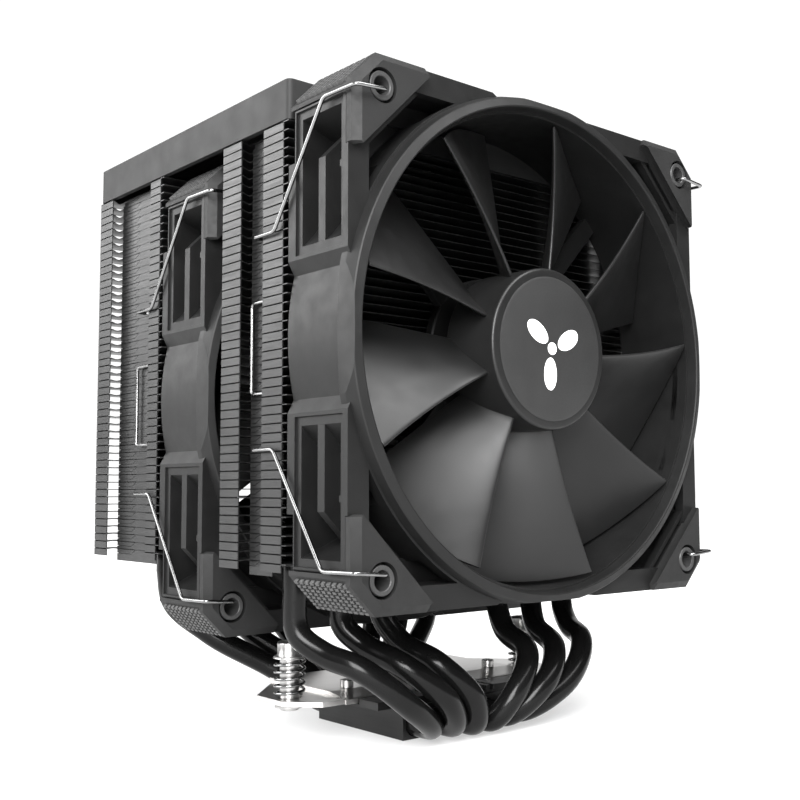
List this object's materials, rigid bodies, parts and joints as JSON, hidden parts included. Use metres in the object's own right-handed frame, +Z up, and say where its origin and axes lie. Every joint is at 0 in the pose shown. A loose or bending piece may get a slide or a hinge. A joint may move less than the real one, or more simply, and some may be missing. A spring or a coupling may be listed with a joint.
{
  "type": "cpu tower cooler",
  "caption": "Black twin-tower processor cooler with fans, bent heat pipes, wire fan clips and a sprung steel crossbar.",
  "frame": {"origin": "centre of the base block's contact face, which presses on the processor", "axes": "+Z up the towers, +Y along the air flow from the front fan to the rear tower, +X to the right seen from the front fan"},
  "size_m": [0.1232, 0.1246, 0.1552],
  "materials": {
    "satin_black": "satin",
    "black_fins": "satin",
    "gloss_black_pipe": "gloss",
    "black_base": "satin",
    "bright_steel": "polished",
    "spring_steel": "polished",
    "wire_steel": "polished",
    "frame_plastic": "satin",
    "corner_rubber": "matt",
    "rotor_plastic": "satin",
    "hub_disc": "satin",
    "magnet": "matt",
    "bronze": "satin",
    "copper_winding": "satin",
    "board": "satin"
  },
  "bodies": {
    "cooler": {"top_cover": "satin_black", "front_fin_stack": "black_fins", "rear_fin_stack": "black_fins", "base_block": "black_base", "base_top_plate": "black_base", "mounting_crossbar": "bright_steel", "left_outer_heat_pipe": "gloss_black_pipe", "left_middle_heat_pipe": "gloss_black_pipe", "left_inner_heat_pipe": "gloss_black_pipe", "left_crossbar_screw": "bright_steel", "left_screw_spring": "spring_steel", "right_outer_heat_pipe": "gloss_black_pipe", "right_middle_heat_pipe": "gloss_black_pipe", "right_inner_heat_pipe": "gloss_black_pipe", "right_crossbar_screw": "bright_steel", "right_screw_spring": "spring_steel", "front_fan_frame": "frame_plastic", "front_fan_upper_right_rubber_corner": "corner_rubber", "front_fan_upper_left_rubber_corner": "corner_rubber", "front_fan_lower_left_rubber_corner": "corner_rubber", "front_fan_lower_right_rubber_corner": "corner_rubber", "front_fan_bearing_sleeve": "bronze", "front_fan_stator": "copper_winding", "front_fan_circuit_board": "board", "middle_fan_frame": "frame_plastic", "middle_fan_upper_right_rubber_corner": "corner_rubber", "middle_fan_upper_left_rubber_corner": "corner_rubber", "middle_fan_lower_left_rubber_corner": "corner_rubber", "middle_fan_lower_right_rubber_corner": "corner_rubber", "middle_fan_bearing_sleeve": "bronze", "middle_fan_stator": "copper_winding", "middle_fan_circuit_board": "board"},
    "front_fan_rotor": {"front_rotor": "rotor_plastic", "front_fan_hub_disc": "hub_disc", "front_fan_magnet_ring": "magnet", "front_fan_rotor_shaft": "bright_steel"},
    "front_left_clip": {"front_fan_left_wire_clip": "wire_steel"},
    "front_right_clip": {"front_fan_right_wire_clip": "wire_steel"},
    "middle_fan_rotor": {"middle_rotor": "rotor_plastic", "middle_fan_hub_disc": "hub_disc", "middle_fan_magnet_ring": "magnet", "middle_fan_rotor_shaft": "bright_steel"},
    "middle_left_clip": {"middle_fan_left_wire_clip": "wire_steel"},
    "middle_right_clip": {"middle_fan_right_wire_clip": "wire_steel"},
    "left_screw_carrier": {"left_retaining_clip": "spring_steel"},
    "left_screw": {"left_spring_screw": "bright_steel"},
    "right_screw_carrier": {"right_retaining_clip": "spring_steel"},
    "right_screw": {"right_spring_screw": "bright_steel"}
  },
  "joints": [
    {"name": "front_fan_spin", "type": "hinge", "parent": "cooler", "child": "front_fan_rotor", "pos_m": [0, -0.0506, 0.0952], "axis": [0, -1, 0], "continuous": true},
    {"name": "front_fan_left_clip_swing", "type": "hinge", "parent": "cooler", "child": "front_left_clip", "pos_m": [-0.0525, -0.0506, 0.0952], "axis": [0, 0, 1], "range_deg": [0, 25]},
    {"name": "front_fan_right_clip_swing", "type": "hinge", "parent": "cooler", "child": "front_right_clip", "pos_m": [0.0525, -0.0506, 0.0952], "axis": [0, 0, -1], "range_deg": [0, 25]},
    {"name": "middle_fan_spin", "type": "hinge", "parent": "cooler", "child": "middle_fan_rotor", "pos_m": [0, 0.0084, 0.0852], "axis": [0, -1, 0], "continuous": true},
    {"name": "middle_fan_left_clip_swing", "type": "hinge", "parent": "cooler", "child": "middle_left_clip", "pos_m": [-0.0525, 0.0084, 0.0852], "axis": [0, 0, 1], "range_deg": [0, 25]},
    {"name": "middle_fan_right_clip_swing", "type": "hinge", "parent": "cooler", "child": "middle_right_clip", "pos_m": [0.0525, 0.0084, 0.0852], "axis": [0, 0, -1], "range_deg": [0, 25]},
    {"name": "left_screw_press", "type": "slide", "parent": "cooler", "child": "left_screw_carrier", "axis": [0, 0, -1], "range_m": [0, 0.004], "stiffness_N_per_m": 4000, "springref_m": -0.001, "deforming": ["left_screw_spring"]},
    {"name": "left_screw_turn", "type": "hinge", "parent": "left_screw_carrier", "child": "left_screw", "pos_m": [-0.041, 0.0002, 0.015], "axis": [0, 0, -1], "continuous": true},
    {"name": "right_screw_press", "type": "slide", "parent": "cooler", "child": "right_screw_carrier", "axis": [0, 0, -1], "range_m": [0, 0.004], "stiffness_N_per_m": 4000, "springref_m": -0.001, "deforming": ["right_screw_spring"]},
    {"name": "right_screw_turn", "type": "hinge", "parent": "right_screw_carrier", "child": "right_screw", "pos_m": [0.041, 0.0002, 0.015], "axis": [0, 0, -1], "continuous": true}
  ]
}
